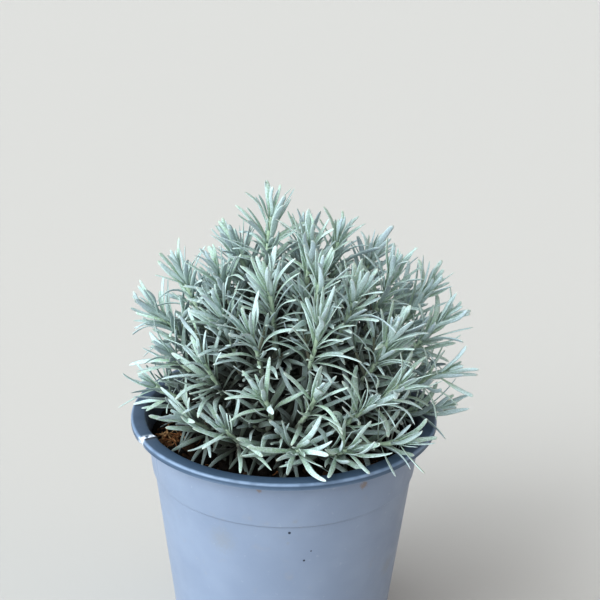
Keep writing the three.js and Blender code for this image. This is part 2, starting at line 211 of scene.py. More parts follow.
# Side shoots: how many to a full shoot, the stretch of its leafy part that they stand on, shortest
# and longest stalk, leaves, and the lowest leaf's length
SIDE_SHOOTS = [
    {"most": 3, "stretch": (0.2, 0.9), "stalk": (12.0, 22.0), "leaves": 11, "leaf_length": 21.0},
    {"most": 2, "stretch": (0.1, 0.7), "stalk": (7.0, 13.0), "leaves": 8, "leaf_length": 18.0},
]
SIDE_SHOOT_TRIES = 7
SIDE_SHOOT_LEANS = (30, 58)
SIDE_SHOOT_LIFT = 0.25
SIDE_LEAF_OPENINGS = (60, 7)
SIDE_LEAF_WIDTHS = (1.9, 2.6)
DOME_MARGIN = 0.05

# The foliage's dome, for how deep inside it a leaf is, which also sets the painted shade deep in the
# foliage
DOME_RADIUS = 72.0
DOME_RISE = 101.0

# Half of a leaf's cross-section, right of its middle, from the groove round to the midrib below:
# across in half widths and up in thicknesses
LEAF_SECTION = [(0.0, 0.28), (0.66, 0.38), (1.0, 0.04), (0.62, -0.30), (0.0, -0.44)]

rng = np.random.default_rng(SEED)


def unit(v):
    return v / np.maximum(np.linalg.norm(v, axis=-1, keepdims=True), 1e-9)


def mix(low, high, share):
    return low + (high - low) * share


def smooth(x):
    x = np.clip(x, 0.0, 1.0)
    return x * x * (3 - 2 * x)


def bump_noise(points, size, seed, octaves=3):
    """Smooth seeded noise from about -1 to 1 at points, with bumps of that size."""
    draw = np.random.default_rng(seed)
    total = np.zeros(points.shape[:-1])
    weight = 1.0
    for _ in range(octaves):
        for _ in range(5):
            way = unit(draw.normal(size=3)) * 2 * math.pi / (size * draw.uniform(0.8, 1.5))
            total += weight * np.sin(points @ way + draw.uniform(0, 2 * math.pi)) / 3
        size *= 0.5
        weight *= 0.55
    return total


# Meshes


def new_object(name, data):
    """A new object in the scene."""
    made = bpy.data.objects.new(name, data)
    bpy.context.scene.collection.objects.link(made)
    return made


class Skin:
    """Gathers closed bodies, and makes one mesh of them."""

    def __init__(self):
        self.points, self.faces, self.materials = [], [], []
        self.place, self.life = [], []
        self.count = 0

    def add(self, points, faces, material=0, place=(0, 0, 0), life=(0, 0, 0)):
        points = np.asarray(points, float).reshape(-1, 3)
        self.points.append(points)
        for group in faces:
            group = np.asarray(group, int)
            self.faces.append(group + self.count)
            self.materials.append(np.full(len(group), material))
        self.place.append(np.broadcast_to(place, points.shape))
        self.life.append(np.broadcast_to(life, points.shape))
        self.count += len(points)

    def piece(self, name, materials, slot, replaces):
        """The bodies as one smooth mesh, which takes the place of the frame's node replaces."""
        mesh = bpy.data.meshes.new(name)
        points = np.concatenate(self.points) * MM
        sizes = np.concatenate([np.full(len(f), f.shape[1]) for f in self.faces])
        corners = np.concatenate([f.ravel() for f in self.faces])
        mesh.vertices.add(len(points))
        mesh.vertices.foreach_set("co", points.ravel())
        mesh.loops.add(len(corners))
        mesh.loops.foreach_set("vertex_index", corners)
        mesh.polygons.add(len(sizes))
        mesh.polygons.foreach_set("loop_start", np.concatenate([[0], np.cumsum(sizes)[:-1]]))
        mesh.polygons.foreach_set("material_index", np.concatenate(self.materials))
        mesh.polygons.foreach_set("use_smooth", np.full(len(sizes), True))
        mesh.update(calc_edges=True)
        for label, values in (("place", self.place), ("life", self.life)):
            attribute = mesh.attributes.new(label, "FLOAT_VECTOR", "POINT")
            attribute.data.foreach_set("vector", np.concatenate(values).ravel())
        for material in materials:
            mesh.materials.append(material)
        piece = new_object(name, mesh)
        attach(piece, "root")
        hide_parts(replaces)
        return piece


def tube_faces(stations, sides):
    """Faces of a closed tube: rings of points, then the points that close the first and the last."""
    ring = np.arange(sides)
    turn = np.roll(ring, -1)
    low = np.arange(stations - 1)[:, None] * sides
    quads = np.stack([low + ring, low + turn, low + turn + sides, low + ring + sides], -1)
    last = (stations - 1) * sides
    start = np.full(sides, stations * sides)
    caps = np.concatenate([
        np.stack([turn, ring, start], -1),
        np.stack([last + ring, last + turn, start + 1], -1),
    ])
    return quads.reshape(-1, 4), caps


def frames_along(points, side):
    """Unit ways along a line of points, and a sideways and an upward one across each."""
    way = unit(np.gradient(points, axis=0))
    across = np.empty_like(way)
    for i, w in enumerate(way):
        side = unit(side - w * (w @ side))
        across[i] = side
    return way, across, np.cross(way, across)


def add_tube(skin, points, radii, sides, material, place, life, bump=0.0, seed=0):
    """A round tube along points. Place and life are a value for each point."""
    points = np.asarray(points, float)
    way, across, up = frames_along(points, np.array([0.31, 0.95, 0.05]))
    angle = 2 * math.pi * np.arange(sides) / sides
    rings = across[:, None] * np.cos(angle)[:, None] + up[:, None] * np.sin(angle)[:, None]
    radii = np.broadcast_to(radii, len(points))[:, None, None]
    rings = points[:, None] + rings * radii
    if bump:
        rings += bump * bump_noise(rings, 2.5, seed)[..., None] * unit(rings - points[:, None])
    ends = np.array([points[0] - way[0] * radii[0] * 0.3, points[-1] + way[-1] * radii[-1] * 0.6])
    body = np.concatenate([rings.reshape(-1, 3), ends.reshape(-1, 3)])
    place, life = [np.concatenate([np.repeat(v, sides, axis=0), v[[0, -1]]]) for v in (place, life)]
    skin.add(body, tube_faces(len(points), sides), material, place, life)


def spline(points, count):
    """A smooth line of count points through points."""
    points = np.asarray(points, float)
    padded = np.concatenate([[2 * points[0] - points[1]], points, [2 * points[-1] - points[-2]]])
    at = np.linspace(0, len(points) - 1, count)
    i = np.minimum(at.astype(int), len(points) - 2)
    t = (at - i)[:, None]
    a, b, c, d = padded[i], padded[i + 1], padded[i + 2], padded[i + 3]
    bend = 2 * a - 5 * b + 4 * c - d
    sway = 3 * b - a - 3 * c + d
    return 0.5 * (2 * b + (c - a) * t + bend * t**2 + sway * t**3)


# The frame's shoots


class Shoot:
    """A leafy stem as its plain solid has it: ring centres from the foot up, and its leaves."""

    def __init__(self, name):
        corners, near = welded(name)
        self.name = name
        spikes = spikes_on(near)
        leader = min(spikes, key=lambda spike: edge_spread(corners[spike[1]]))
        stem = set(near)
        for tip, ring, _ in spikes:
            stem -= {tip, *ring}
        spikes.remove(leader)
        rings = stem_rings(set(leader[2]), near, stem)
        self.path = np.array([corners[sorted(ring)].mean(0) for ring in rings])
        self.radius = np.array([
            np.linalg.norm(corners[sorted(ring)] - centre, axis=1).mean()
            for ring, centre in zip(rings, self.path)
        ])
        self.leader = corners[leader[0]]
        self.count = len(rings) - 2 - BARE_BANDS
        self.leaves = []
        self.missing = set(range(self.count))
        level = {i: at for at, ring in enumerate(rings) for i in ring}
        for tip, ring, root in spikes:
            number = min(level[i] for i in root) - 1 - BARE_BANDS
            self.leaves.append(self.solid_leaf(corners, tip, ring, root, number))
            self.missing.discard(number)
        self.leaves.sort(key=lambda leaf: leaf["number"])

    def solid_leaf(self, corners, tip, ring, root, number):
        """The leaf of a spike on the solid, from its root over its ring of corners to its tip."""
        keel, *raised = lowest_of(corners, ring)
        top = corners[raised].mean(0)
        heel, elbow = corners[root].mean(0), corners[ring].mean(0)
        tip = mix(elbow, corners[tip], LEAF_REACH)
        rank = self.rank(number)
        leaf = new_leaf(heel, elbow, tip, top - corners[keel], rank, number=number)
        return arched(leaf)

    def rank(self, number):
        """A leaf's rank by its number: 1 for the youngest, and about 0 for the oldest."""
        return 1 - (self.count - 1 - number) / (LEAVES_PER_SHOOT - 1)

    def at(self, number):
        """The stem's middle, way and radius at a leaf's number, which may be a fraction."""
        level = np.clip(number + 1.5 + BARE_BANDS, 0, len(self.path) - 1.001)
        i = int(level)
        centre = mix(self.path[i], self.path[i + 1], level - i)
        after = self.path[min(i + 2, len(self.path) - 1)]
        radius = mix(self.radius[i], self.radius[i + 1], level - i)
        return centre, unit(after - self.path[i - 1]), radius


def welded(name):
    """A node's corners, each once, and the corners next to each."""
    bm = bmesh.new()
    bm.from_mesh(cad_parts[name].data)
    bmesh.ops.remove_doubles(bm, verts=bm.verts, dist=WELD_METRES)
    bm.verts.index_update()
    corners = np.array([v.co for v in bm.verts]) / MM
    near = {v.index: {e.other_vert(v).index for e in v.link_edges} for v in bm.verts}
    bm.free()
    return corners, near


def spikes_on(near):
    """A solid's spikes: the tip, the three corners next to it, and the corners next to those."""
    spikes = []
    for tip, ring in near.items():
        if len(ring) == 3:
            root = set().union(*(near[i] for i in ring)) - ring - {tip}
            spikes.append((tip, sorted(ring), sorted(root)))
    return spikes


def stem_rings(top, near, stem):
    """A stem's rings of corners from the foot up, found from its top ring down."""
    rings = [top]
    seen = set(top)
    while below := set().union(*(near[i] for i in rings[-1])) & stem - seen:
        rings.append(below)
        seen |= below
    return rings[::-1]


def edge_spread(triangle):
    """How much a triangle's edges differ in length, which is least on the leader's ring."""
    edges = np.linalg.norm(triangle - np.roll(triangle, 1, axis=0), axis=1)
    return edges.max() - edges.min()


def lowest_of(corners, ring):
    """A leaf ring's keel, which faces its longest edge, and then its two upper corners."""
    def facing(i):
        others = [j for j in ring if j != i]
        return np.linalg.norm(corners[others[0]] - corners[others[1]])
    keel = max(ring, key=facing)
    return [keel] + [i for i in ring if i != keel]


def new_leaf(heel, elbow, tip, up, rank, number=0.0, width=LEAF_WIDTH):
    """A leaf from its heel on the stem over its elbow to its tip. Its droop grows with a power."""
    across = unit(np.cross(up, tip - heel))
    return {
        "heel": heel, "elbow": elbow, "tip": tip, "across": across, "rank": rank, "number": number,
        "width": width, "dryness": 0.0, "droop": np.zeros(3), "droop_power": 2.0,
    }


def arched(leaf):
    """The leaf with its tip bent: down, most on old leaves, or up, on some that lie about level."""
    old = 1 - np.clip(leaf["rank"], 0, 1)
    share = mix(rng.uniform(*YOUNG_BEND), rng.uniform(*OLD_BEND), old)
    if rng.uniform() < CURLED_SHARE * old:
        share = rng.uniform(*CURLED_BEND)
    way = leaf["tip"] - leaf["heel"]
    side = np.cross(leaf["across"], way)
    rise = way[2] / np.linalg.norm(way)
    if rng.uniform() < LIFTED_SHARE * smooth((0.6 - rise) / 0.5) * smooth((rise + 0.3) / 0.3):
        side = np.cross(way, unit(np.cross(way, [0, 0, 1])))
        side = side if side[2] > 0 else -side
        share = rng.uniform(*LIFTED_BEND)
    leaf["droop_power"] = rng.uniform(*BEND_POWERS)
    for ease in BEND_EASES:
        leaf["droop"] = side * share * ease - way * BEND_SHORTENING * (share * ease) ** 2
        if clears_pot(leaf):
            break
    return leaf


def leaf_line(leaf, t):
    """Points along a leaf's smooth middle line, which passes its elbow."""
    e = ELBOW_SHARE
    bend = (leaf["elbow"] - (1 - e) ** 2 * leaf["heel"] - e * e * leaf["tip"]) / (2 * e * (1 - e))
    t = np.asarray(t)[:, None]
    line = (1 - t) ** 2 * leaf["heel"] + 2 * t * (1 - t) * bend + t * t * leaf["tip"]
    return line + leaf["droop"] * t ** leaf["droop_power"]


# More leaves, where the solids leave room


class Crowd:
    """Points on all leaves, for keeping new ones clear."""

    def __init__(self):
        self.all = []

    def add(self, leaf):
        self.all.append(leaf_line(leaf, np.linspace(0.15, 1, 9)))

    def focus(self):
        """Sorts the points so far, so that what is added from here on is tested by itself."""
        points = np.concatenate(self.all)
        self.settled = KDTree(len(points))
        for i, point in enumerate(points):
            self.settled.insert(point, i)
        self.settled.balance()
        self.fresh = len(self.all)

    def has_room(self, leaf, from_share=0.35):
        """Whether the leaf keeps clear of all others, from that share of its length on."""
        points = leaf_line(leaf, np.linspace(from_share, 1, 6))
        if any(self.settled.find(point)[2] < LEAF_ROOM for point in points):
            return False
        if self.fresh == len(self.all):
            return True
        fresh = np.concatenate(self.all[self.fresh:])
        return np.linalg.norm(points[:, None] - fresh, axis=2).min() >= LEAF_ROOM


def outward(way, turn):
    """The direction at an angle round a way."""
    side = unit(np.cross(way, [0.37, 0.21, 0.9]))
    return side * math.cos(turn) + np.cross(way, side) * math.sin(turn)


def leaf_from(foot, way, out, open_angle, bend, length, radius, rank, width):
    """A leaf off a stem at foot, leaning open_angle off its way and bend more from its elbow on."""
    low, high = math.radians(open_angle), math.radians(open_angle + bend)
    low_way = way * math.cos(low) + out * math.sin(low)
    high_way = way * math.cos(high) + out * math.sin(high)
    heel = foot + out * radius * 0.6
    elbow = heel + low_way * ELBOW_SHARE * length
    tip = elbow + high_way * (1 - ELBOW_SHARE) * length
    across = unit(np.cross(way, out))
    up = np.cross(low_way, across)
    return new_leaf(heel, elbow, tip, up, rank, width=width)


def clears_pot(leaf):
    """Whether the leaf stays over the soil and the rim, and off the rim's crease."""
    points = leaf_line(leaf, np.linspace(0.2, 1, 6))
    radius = np.hypot(points[:, 0], points[:, 1])
    over_rim = radius > BORE_AT_SOIL - 3
    off_crease = np.degrees(np.arctan2(points[:, 0], -points[:, 1])) - CREASE_HEADING
    by_crease = over_rim & (np.abs(off_crease) < CREASE_CLEARANCE)
    over_crease = by_crease & (points[:, 2] < POT_HEIGHT + CREASE_CLEAR_HEIGHT)
    floor = np.where(over_rim, POT_HEIGHT + LEAF_OVER_RIM, SOIL_LEVEL + LEAF_OVER_SOIL)
    return bool(np.all(points[:, 2] > floor) and not np.any(over_crease))


def add_bud(shoot, crowd):
    """The young leaves round a shoot's heart, closing up towards its tip."""
    heart = shoot.path[-1]
    way = unit(shoot.leader - heart)
    turn = rng.uniform(0, 360)
    for i in range(BUD_LEAVES):
        share = i / (BUD_LEAVES - 1)
        turn += GOLDEN_ANGLE + rng.uniform(-8, 8)
        out = outward(way, math.radians(turn))
        open_angle = mix(*BUD_OPENINGS, share) + rng.uniform(-3, 3)
        length = mix(*BUD_LENGTHS, share) * rng.uniform(0.88, 1.1)
        length *= mix(SPARSE_BUD_SHARE, 1, fullness(shoot))
        foot = heart + way * mix(*BUD_FEET, share)
        width = mix(*BUD_WIDTHS, share)
        leaf = leaf_from(foot, way, out, open_angle, rng.uniform(-6, 4), length, 1.0, 1.05, width)
        shoot.leaves.append(leaf)
        crowd.add(leaf)


def fill_between(shoot, crowd):
    """Leaves for the bands that the solid left bare, for the stem below and between the others."""
    numbers = fill_numbers(shoot)
    turn = rng.uniform(0, 360)
    for number in numbers:
        turn += GOLDEN_ANGLE
        for attempt in range(FILL_TRIES):
            leaf = fill_leaf(shoot, number, turn, attempt)
            if clears_pot(leaf) and crowd.has_room(leaf):
                if number < 0 and rng.uniform() < DRY_SHARE:
                    leaf["rank"], leaf["dryness"] = -1.0, 1.0
                shoot.leaves.append(leaf)
                crowd.add(leaf)
                break


def fill_numbers(shoot):
    """Where on a shoot leaves are filled in, as leaf numbers: below 0 on its bare stem."""
    extra = round(mix(*FILL_LEAVES, fullness(shoot)))
    numbers = sorted(shoot.missing) + [shoot.count * rng.uniform(0.0, 0.98) for _ in range(extra)]
    bare = np.linalg.norm(shoot.at(0)[0] - shoot.at(-BARE_BANDS)[0])
    bare_leaves = int(bare / BARE_STEM_PER_LEAF)
    return numbers + [-BARE_BANDS * rng.uniform(0.0, 0.75) for _ in range(bare_leaves)]


def fill_leaf(shoot, number, turn, attempt):
    """A leaf about at a turn round the shoot, a little shorter and further off with each attempt."""
    full = fullness(shoot)
    foot, way, radius = shoot.at(number)
    rank = np.clip(shoot.rank(number), -0.2, 1)
    turn = turn + rng.uniform(-1, 1) * mix(10 * attempt, 180, full)
    out = outward(way, math.radians(turn))
    open_angle = mix(OLD_OPENING, mix(*YOUNG_OPENINGS, full), max(rank, 0) ** 1.3)
    open_angle += rng.uniform(-1, 1) * mix(*OPENING_SPREADS, full)
    length = mix(OLD_LENGTH, mix(*YOUNG_LENGTHS, full), rank)
    length = length * rng.uniform(0.75, 1.12) * (1 - 0.03 * attempt)
    width = rng.uniform(*FILL_WIDTHS)
    bend = rng.uniform(LEAST_BEND, mix(*MOST_BENDS, rank))
    return arched(leaf_from(foot, way, out, open_angle, bend, length, radius, rank, width))


def fullness(shoot):
    """From 0 for a sparse shoot down at the pot's rim to 1 for a full one up in the dome."""
    return smooth((shoot.path[-1][2] - POT_HEIGHT - SPARSE_HEART) / (FULL_HEART - SPARSE_HEART))


def add_side_shoots(shoot, crowd):
    """Side shoots in the leaves' axils, where at least half of their leaves find room."""
    shoot.twigs = []
    for kind in SIDE_SHOOTS:
        count = round(kind["most"] * fullness(shoot))
        places = np.linspace(*kind["stretch"], count) * shoot.count
        for number in places + rng.uniform(-1, 1, count):
            leaves, twig = best_side_shoot(shoot, crowd, kind, number)
            if len(leaves) < kind["leaves"] / 2:
                continue
            for leaf in leaves:
                crowd.add(leaf)
            shoot.leaves += leaves
            shoot.twigs.append(twig)


def best_side_shoot(shoot, crowd, kind, number):
    """The leaves and the two ends of that side shoot, out of some, whose leaves have most room."""
    foot, way, radius = shoot.at(number)
    best, twig = [], None
    for _ in range(SIDE_SHOOT_TRIES):
        out = outward(way, rng.uniform(0, 2 * math.pi))
        lean = math.radians(rng.uniform(*SIDE_SHOOT_LEANS))
        lift = np.array([0, 0, SIDE_SHOOT_LIFT])
        axis = unit(way * math.cos(lean) + out * math.sin(lean) + lift)
        start = foot + out * radius * 0.5
        end = start + axis * rng.uniform(*kind["stalk"])
        if depth_in_dome(end + axis * kind["leaf_length"] * 0.7) < DOME_MARGIN:
            continue
        leaves = side_leaves(start, end, shoot.rank(number), kind)
        kept = [leaf for leaf in leaves if clears_pot(leaf) and crowd.has_room(leaf, 0.5)]
        if len(kept) > len(best):
            best, twig = kept, (foot, end)
    return best, twig


def side_leaves(start, end, rank, kind):
    """A side shoot's leaves, spread along its stalk and closing up towards its end."""
    leaves = []
    axis = unit(end - start)
    turn = rng.uniform(0, 360)
    for i in range(kind["leaves"]):
        share = i / (kind["leaves"] - 1)
        turn += GOLDEN_ANGLE
        out = outward(axis, math.radians(turn))
        open_angle = mix(*SIDE_LEAF_OPENINGS, share) + rng.uniform(-6, 6)
        length = kind["leaf_length"] * mix(1, 0.5, share) * rng.uniform(0.85, 1.15)
        foot = mix(start, end, mix(0.1, 1, share))
        width = rng.uniform(*SIDE_LEAF_WIDTHS)
        bend = rng.uniform(-8, 16)
        leaf = leaf_from(foot, axis, out, open_angle, bend, length, 0.6, rank, width)
        leaf["rank"] = mix(rank, 1.0, 0.5)
        leaves.append(arched(leaf))
    return leaves


# Fine leaves


def full_section():
    """The leaf's whole cross-section: its right half, and the left one as its mirror image."""
    right = np.array(LEAF_SECTION)
    left = right[-2:0:-1] * [-1, 1]
    return np.concatenate([right, left])


def leaf_width_at(t, plumpness):
    """A leaf's width along it, as a share: narrow at its root, widest half-way, blunt at its tip."""
    rise = 0.5 + 0.5 * smooth(t / mix(0.6, 0.4, plumpness))
    taper = 1 - mix(0.45, 0.2, plumpness) * smooth((t - 0.5) / 0.5)
    start = mix(0.85, 0.92, plumpness)
    blunt = np.sqrt(1 - np.clip((t - start) / (1 - start), 0, 1) ** 2)
    return rise * taper * blunt


def depth_in_dome(points):
    """How deep points are inside the foliage: 0 at its outside, 1 at the middle of the soil."""
    scaled = (points - [0, 0, SOIL_LEVEL]) / [DOME_RADIUS, DOME_RADIUS, DOME_RISE]
    return np.clip(1 - np.linalg.norm(scaled, axis=-1), 0, 1)


def leaf_body(leaf, t, section):
    """The points of a fine leaf: a ring at each share of its length, then its two ends."""
    line = leaf_line(leaf, t)
    length = np.linalg.norm(leaf["tip"] - leaf["heel"])
    way, across, up = frames_along(line, leaf["across"])
    sway = rng.normal(0, LEAF_SWAY) * length
    wave = rng.normal(0, LEAF_WAVE) * length
    line = line + across * (sway * t**2 + wave * np.sin(7 * t))[:, None]
    twist = (math.radians(rng.normal(0, LEAF_TWIST)) * t)[:, None]
    cos, sin = np.cos(twist), np.sin(twist)
    across, up = across * cos + up * sin, up * cos - across * sin
    waver = 1 + LEAF_UNEVENNESS * np.sin(t * rng.uniform(5, 11) + rng.uniform(0, 6))
    share = leaf_width_at(t, rng.uniform())
    half = leaf["width"] / 2 * share * waver * (1 - DRY_LEAF_LOSS * leaf["dryness"])
    deep = LEAF_THICKNESS * (leaf["width"] / LEAF_WIDTH) ** 0.5 * np.clip(share * 1.15, 0, 1)
    rings = (
        line[:, None]
        - across[:, None] * section[:, 0, None] * half[:, None, None]
        + up[:, None] * section[:, 1, None] * deep[:, None, None]
    )
    tip = line[-1] + way[-1] * 0.35 * half[-1]
    return np.concatenate([rings.reshape(-1, 3), [line[0], tip]])


def add_leaves(skin, leaves, material):
    """Fine closed leaves: grooved above, their margins rolled under, a midrib below."""
    section = full_section()
    t = 1 - (1 - np.linspace(0, 0.98, LEAF_STATIONS)) ** 1.8
    place = np.empty((LEAF_STATIONS, len(section), 3))
    place[..., 0] = t[:, None]
    place[..., 1] = section[:, 0]
    place[..., 2] = section[:, 1] * 2
    place = np.concatenate([place.reshape(-1, 3), [[0, 0, 0], [1, 0, 0]]])
    for leaf in leaves:
        body = leaf_body(leaf, t, section)
        life = np.tile([rng.uniform(), leaf["rank"], 0.0], (len(body), 1))
        # The depth inside the foliage sets how much painted shade darkens this leaf
        life[:, 2] = depth_in_dome(body)
        skin.add(body, tube_faces(LEAF_STATIONS, len(section)), material, place, life)


def add_stem(skin, shoot, material):
    """The shoot's round stem, and the stalks of its side shoots."""
    path = spline(shoot.path, 3 * len(shoot.path))
    height = np.linspace(0, 1, len(path))
    radius = np.interp(height, np.linspace(0, 1, len(shoot.radius)), shoot.radius)
    radius = radius * mix(0.85, 0.72, height)
    place = np.stack([height, np.zeros(len(path)), np.zeros(len(path))], -1)
    life = np.tile([rng.uniform(), 0.5, 0.0], (len(path), 1))
    # The depth inside the foliage sets how much painted shade darkens the stem
    life[:, 2] = depth_in_dome(path)
    seed = SEED + len(shoot.leaves)
    add_tube(skin, path, radius, STEM_SIDES, material, place, life, STEM_BUMPS, seed)
    radius = np.linspace(*TWIG_RADII, TWIG_STATIONS)
    place = np.tile([0.9, 0, 0], (TWIG_STATIONS, 1))
    life = np.tile(life[0], (TWIG_STATIONS, 1))
    for start, end in shoot.twigs:
        line = spline([start, mix(start, end, 0.5) - [0, 0, 0.4], end], TWIG_STATIONS)
        add_tube(skin, line, radius, TWIG_SIDES, material, place, life)


def grow():
    """All shoots with their own leaves, buds, side shoots and the leaves between, in this order."""
    shoots = [Shoot(name) for name in sorted(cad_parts) if name.startswith("stem_")]
    crowd = Crowd()
    for shoot in shoots:
        for leaf in shoot.leaves:
            leaf["width"] *= rng.uniform(0.8, 1.2)
            crowd.add(leaf)
    for shoot in shoots:
        add_bud(shoot, crowd)
    for shoot in shoots:
        crowd.focus()
        add_side_shoots(shoot, crowd)
    for shoot in shoots:
        crowd.focus()
        fill_between(shoot, crowd)
    return shoots


def shoot_piece(shoot, leaf_material, stem_material):
    skin = Skin()
    add_leaves(skin, shoot.leaves, 0)
    add_stem(skin, shoot, 1)
    name = shoot.name.replace("stem", "shoot")
    return skin.piece(name, [leaf_material, stem_material], "foliage", shoot.name)


# Pot


def rounded(corners, steps=5):
    """An outline with each corner (radius, height, rounding) eased into a short curve."""
    outline = []
    for i, (r, z, ease) in enumerate(corners):
        here = np.array([r, z])
        if ease == 0 or i in (0, len(corners) - 1):
            outline.append(here)
            continue
        before, after = np.array(corners[i - 1][:2]), np.array(corners[i + 1][:2])
        back, on = before - here, after - here
        ease_back = min(ease, 0.48 * np.linalg.norm(back))
        ease_on = min(ease, 0.48 * np.linalg.norm(on))
        a, b = here + unit(back) * ease_back, here + unit(on) * ease_on
        for t in np.linspace(0, 1, steps):
            outline.append((1 - t) ** 2 * a + 2 * t * (1 - t) * here + t * t * b)
    return np.array(outline)


def with_steps(outline, longest):
    """The outline with its long straight stretches cut into steps."""
    points = [outline[0]]
    for a, b in zip(outline[:-1], outline[1:]):
        parts = max(1, math.ceil(np.linalg.norm(b - a) / longest))
        points += [mix(a, b, k / parts) for k in range(1, parts + 1)]
    return np.array(points)


def wall_radius(z):
    """The pot's outer radius at a height below its lip."""
    low = mix(FOOT_RADIUS, LEDGE_RADIUS, z / LEDGE_Z)
    high = mix(LEDGE_RADIUS + LEDGE_STEP, NECK_RADIUS, (z - LEDGE_Z) / (NECK_Z - LEDGE_Z))
    return low if z < LEDGE_Z else high


def pot_outline():
    """Radii and heights from the middle of the underside, out and up over the lip, to the floor."""
    foot_inner = FOOT_RADIUS - FOOT_WIDTH
    under_lip = POT_HEIGHT - LIP_THICKNESS
    skirt_inner = RIM_RADIUS - SKIRT_THICKNESS
    floor = FLOOR_LIFT + WALL
    return rounded([
        (0, 0, 0),
        (CENTRE_PAD_RADIUS, 0, 0.8),
        (CENTRE_PAD_RADIUS + 2, FLOOR_LIFT, 0.8),
        (foot_inner - 1.5, FLOOR_LIFT, 0.8),
        (foot_inner, 0, 0.8),
        (FOOT_RADIUS, 0, 1.4),
        (wall_radius(LEDGE_Z - 0.6), LEDGE_Z - 0.6, 0.25),
        (LEDGE_RADIUS + LEDGE_STEP, LEDGE_Z, 0.35),
        (NECK_RADIUS, NECK_Z, 0.8),
        (NECK_RADIUS + 0.6, under_lip, 0.8),
        (skirt_inner, under_lip, 0.5),
        (skirt_inner, NECK_Z, 0.3),
        (RIM_RADIUS, NECK_Z, 0.35),
        (RIM_RADIUS, POT_HEIGHT, LIP_EASE),
        (RIM_RADIUS - LIP_WIDTH, POT_HEIGHT, 0.7),
        (NECK_RADIUS - WALL, POT_HEIGHT - 2.6, 1.2),
        (LEDGE_RADIUS + LEDGE_STEP - WALL, LEDGE_Z, 0.4),
        (wall_radius(LEDGE_Z - 0.6) - WALL, LEDGE_Z - 0.6, 0.4),
        (wall_radius(floor) - WALL, floor, 1.5),
        (0, floor, 0),
    ])


def pot_headings():
    """Angles round the pot, close together at the lip's crease. 0 is the front."""
    crease = math.radians(CREASE_HEADING)
    fine = crease + np.radians(np.linspace(-CREASE_SPAN, CREASE_SPAN, CREASE_STEPS))
    even = np.linspace(-math.pi, math.pi, POT_TURNS, endpoint=False)
    even = even[np.abs(even - crease) > math.radians(CREASE_SPAN + 0.2)]
    return np.sort(np.concatenate([even, fine]))


def pot_piece(material):
    """The pot: its outline turned round, with the lip creased and a little wavy, and drilled."""
    outline = with_steps(pot_outline(), OUTLINE_STEP)
    heading = pot_headings()
    inner = outline[1:-1]
    radius, z = inner[:, 0][:, None], inner[:, 1][:, None]
    at_lip = smooth((z - (NECK_Z - 9)) / 9) * smooth((radius - NECK_RADIUS + 5) / 4)
    off = np.degrees(heading - math.radians(CREASE_HEADING))
    dent = crease_share(off)[None, :] * CREASE_DEPTH * at_lip
    wave = bump_noise(np.stack(np.broadcast_arrays(heading * 20, 0, 0), -1), 40, 5)
    radius = radius - dent
    z = z - CREASE_SINK * dent + LIP_WAVINESS * at_lip * wave
    rings = np.stack([radius * np.sin(heading), -radius * np.cos(heading), z], -1)
    ends = [[0, 0, outline[0][1]], [0, 0, outline[-1][1]]]
    skin = Skin()
    skin.add(np.concatenate([rings.reshape(-1, 3), ends]), tube_faces(*rings.shape[:2]))
    piece = skin.piece("pot_shell", [material], "pot_plastic", "pot")
    drill_holes(piece)
    mark_pot(piece.data)
    return piece


def crease_share(off):
    """How deep the lip's crease is at degrees off it: a sharp step, then a slow way out."""
    return np.where(off < 0, np.exp(off / CREASE_BACK_WIDTH), np.exp(-off / CREASE_WIDTH))


def mark_pot(mesh):
    """Writes where the pot is creased, with its white stress mark and the painted shade in the fold,
    and where its lip and the lip's edges are, for its material, which paints shade on the lip and a
    highlight on its edges.
    """
    points = np.empty(3 * len(mesh.vertices))
    mesh.vertices.foreach_get("co", points)
    x, y, z = points.reshape(-1, 3).T / MM
    off = np.degrees(np.arctan2(x, -y)) - CREASE_HEADING
    radius = np.hypot(x, y) + CREASE_DEPTH * crease_share(off)
    outer = smooth((radius - (RIM_RADIUS - LIP_WIDTH - 1)) / 1.5)
    on_lip = outer * smooth((z - NECK_Z + 2) / 2)
    rim = smooth((radius - RIM_RADIUS + 1.6) / 1.2)
    white = np.exp(-(((off - 0.8 * rim) / mix(0.7, 1.6, rim)) ** 2))
    # Painted shade in the crease's fold, just past the white stress mark
    shade = np.exp(-(((off - 1.8) / 0.9) ** 2)) * (1 - rim)
    # The lip and its skirt, which the material paints with shade
    lip = outer * smooth((z - NECK_Z + 0.2) / 0.5)
    # The lip's outer top edge and the skirt's lower edge, for a painted highlight
    edge = rim * (smooth((z - POT_HEIGHT + 1.5) / 0.8) + 0.6 * smooth((NECK_Z + 0.5 - z) / 0.4)) * lip
    if "place" in mesh.attributes:
        mesh.attributes.remove(mesh.attributes["place"])
    place = mesh.attributes.new("place", "FLOAT_VECTOR", "POINT")
    place.data.foreach_set("vector", np.stack([(white - shade) * on_lip, lip, edge], -1).ravel())


def drill_holes(piece):
    """Cuts the drain holes through the pot's floor."""
    bm = bmesh.new()
    for hole in range(DRAIN_COUNT):
        angle = 2 * math.pi * (hole + 0.5) / DRAIN_COUNT
        at = Vector((math.cos(angle), math.sin(angle), 0)) * DRAIN_RING_RADIUS * MM
        bmesh.ops.create_cone(
            bm, cap_ends=True, segments=DRAIN_SIDES, radius1=DRAIN_RADIUS * MM,
            radius2=DRAIN_RADIUS * MM, depth=20 * MM, matrix=Matrix.Translation(at),
        )
    drill = new_object("drill", bpy.data.meshes.new("drill"))
    bm.to_mesh(drill.data)
    bm.free()
    cut = piece.modifiers.new("drain_holes", "BOOLEAN")
    cut.object = drill
    cut.operation = "DIFFERENCE"
    cut.solver = "EXACT"
    made = bpy.data.meshes.new_from_object(piece.evaluated_get(bpy.context.evaluated_depsgraph_get()))
    piece.modifiers.clear()
    piece.data = made
    bpy.data.objects.remove(drill)


# Soil


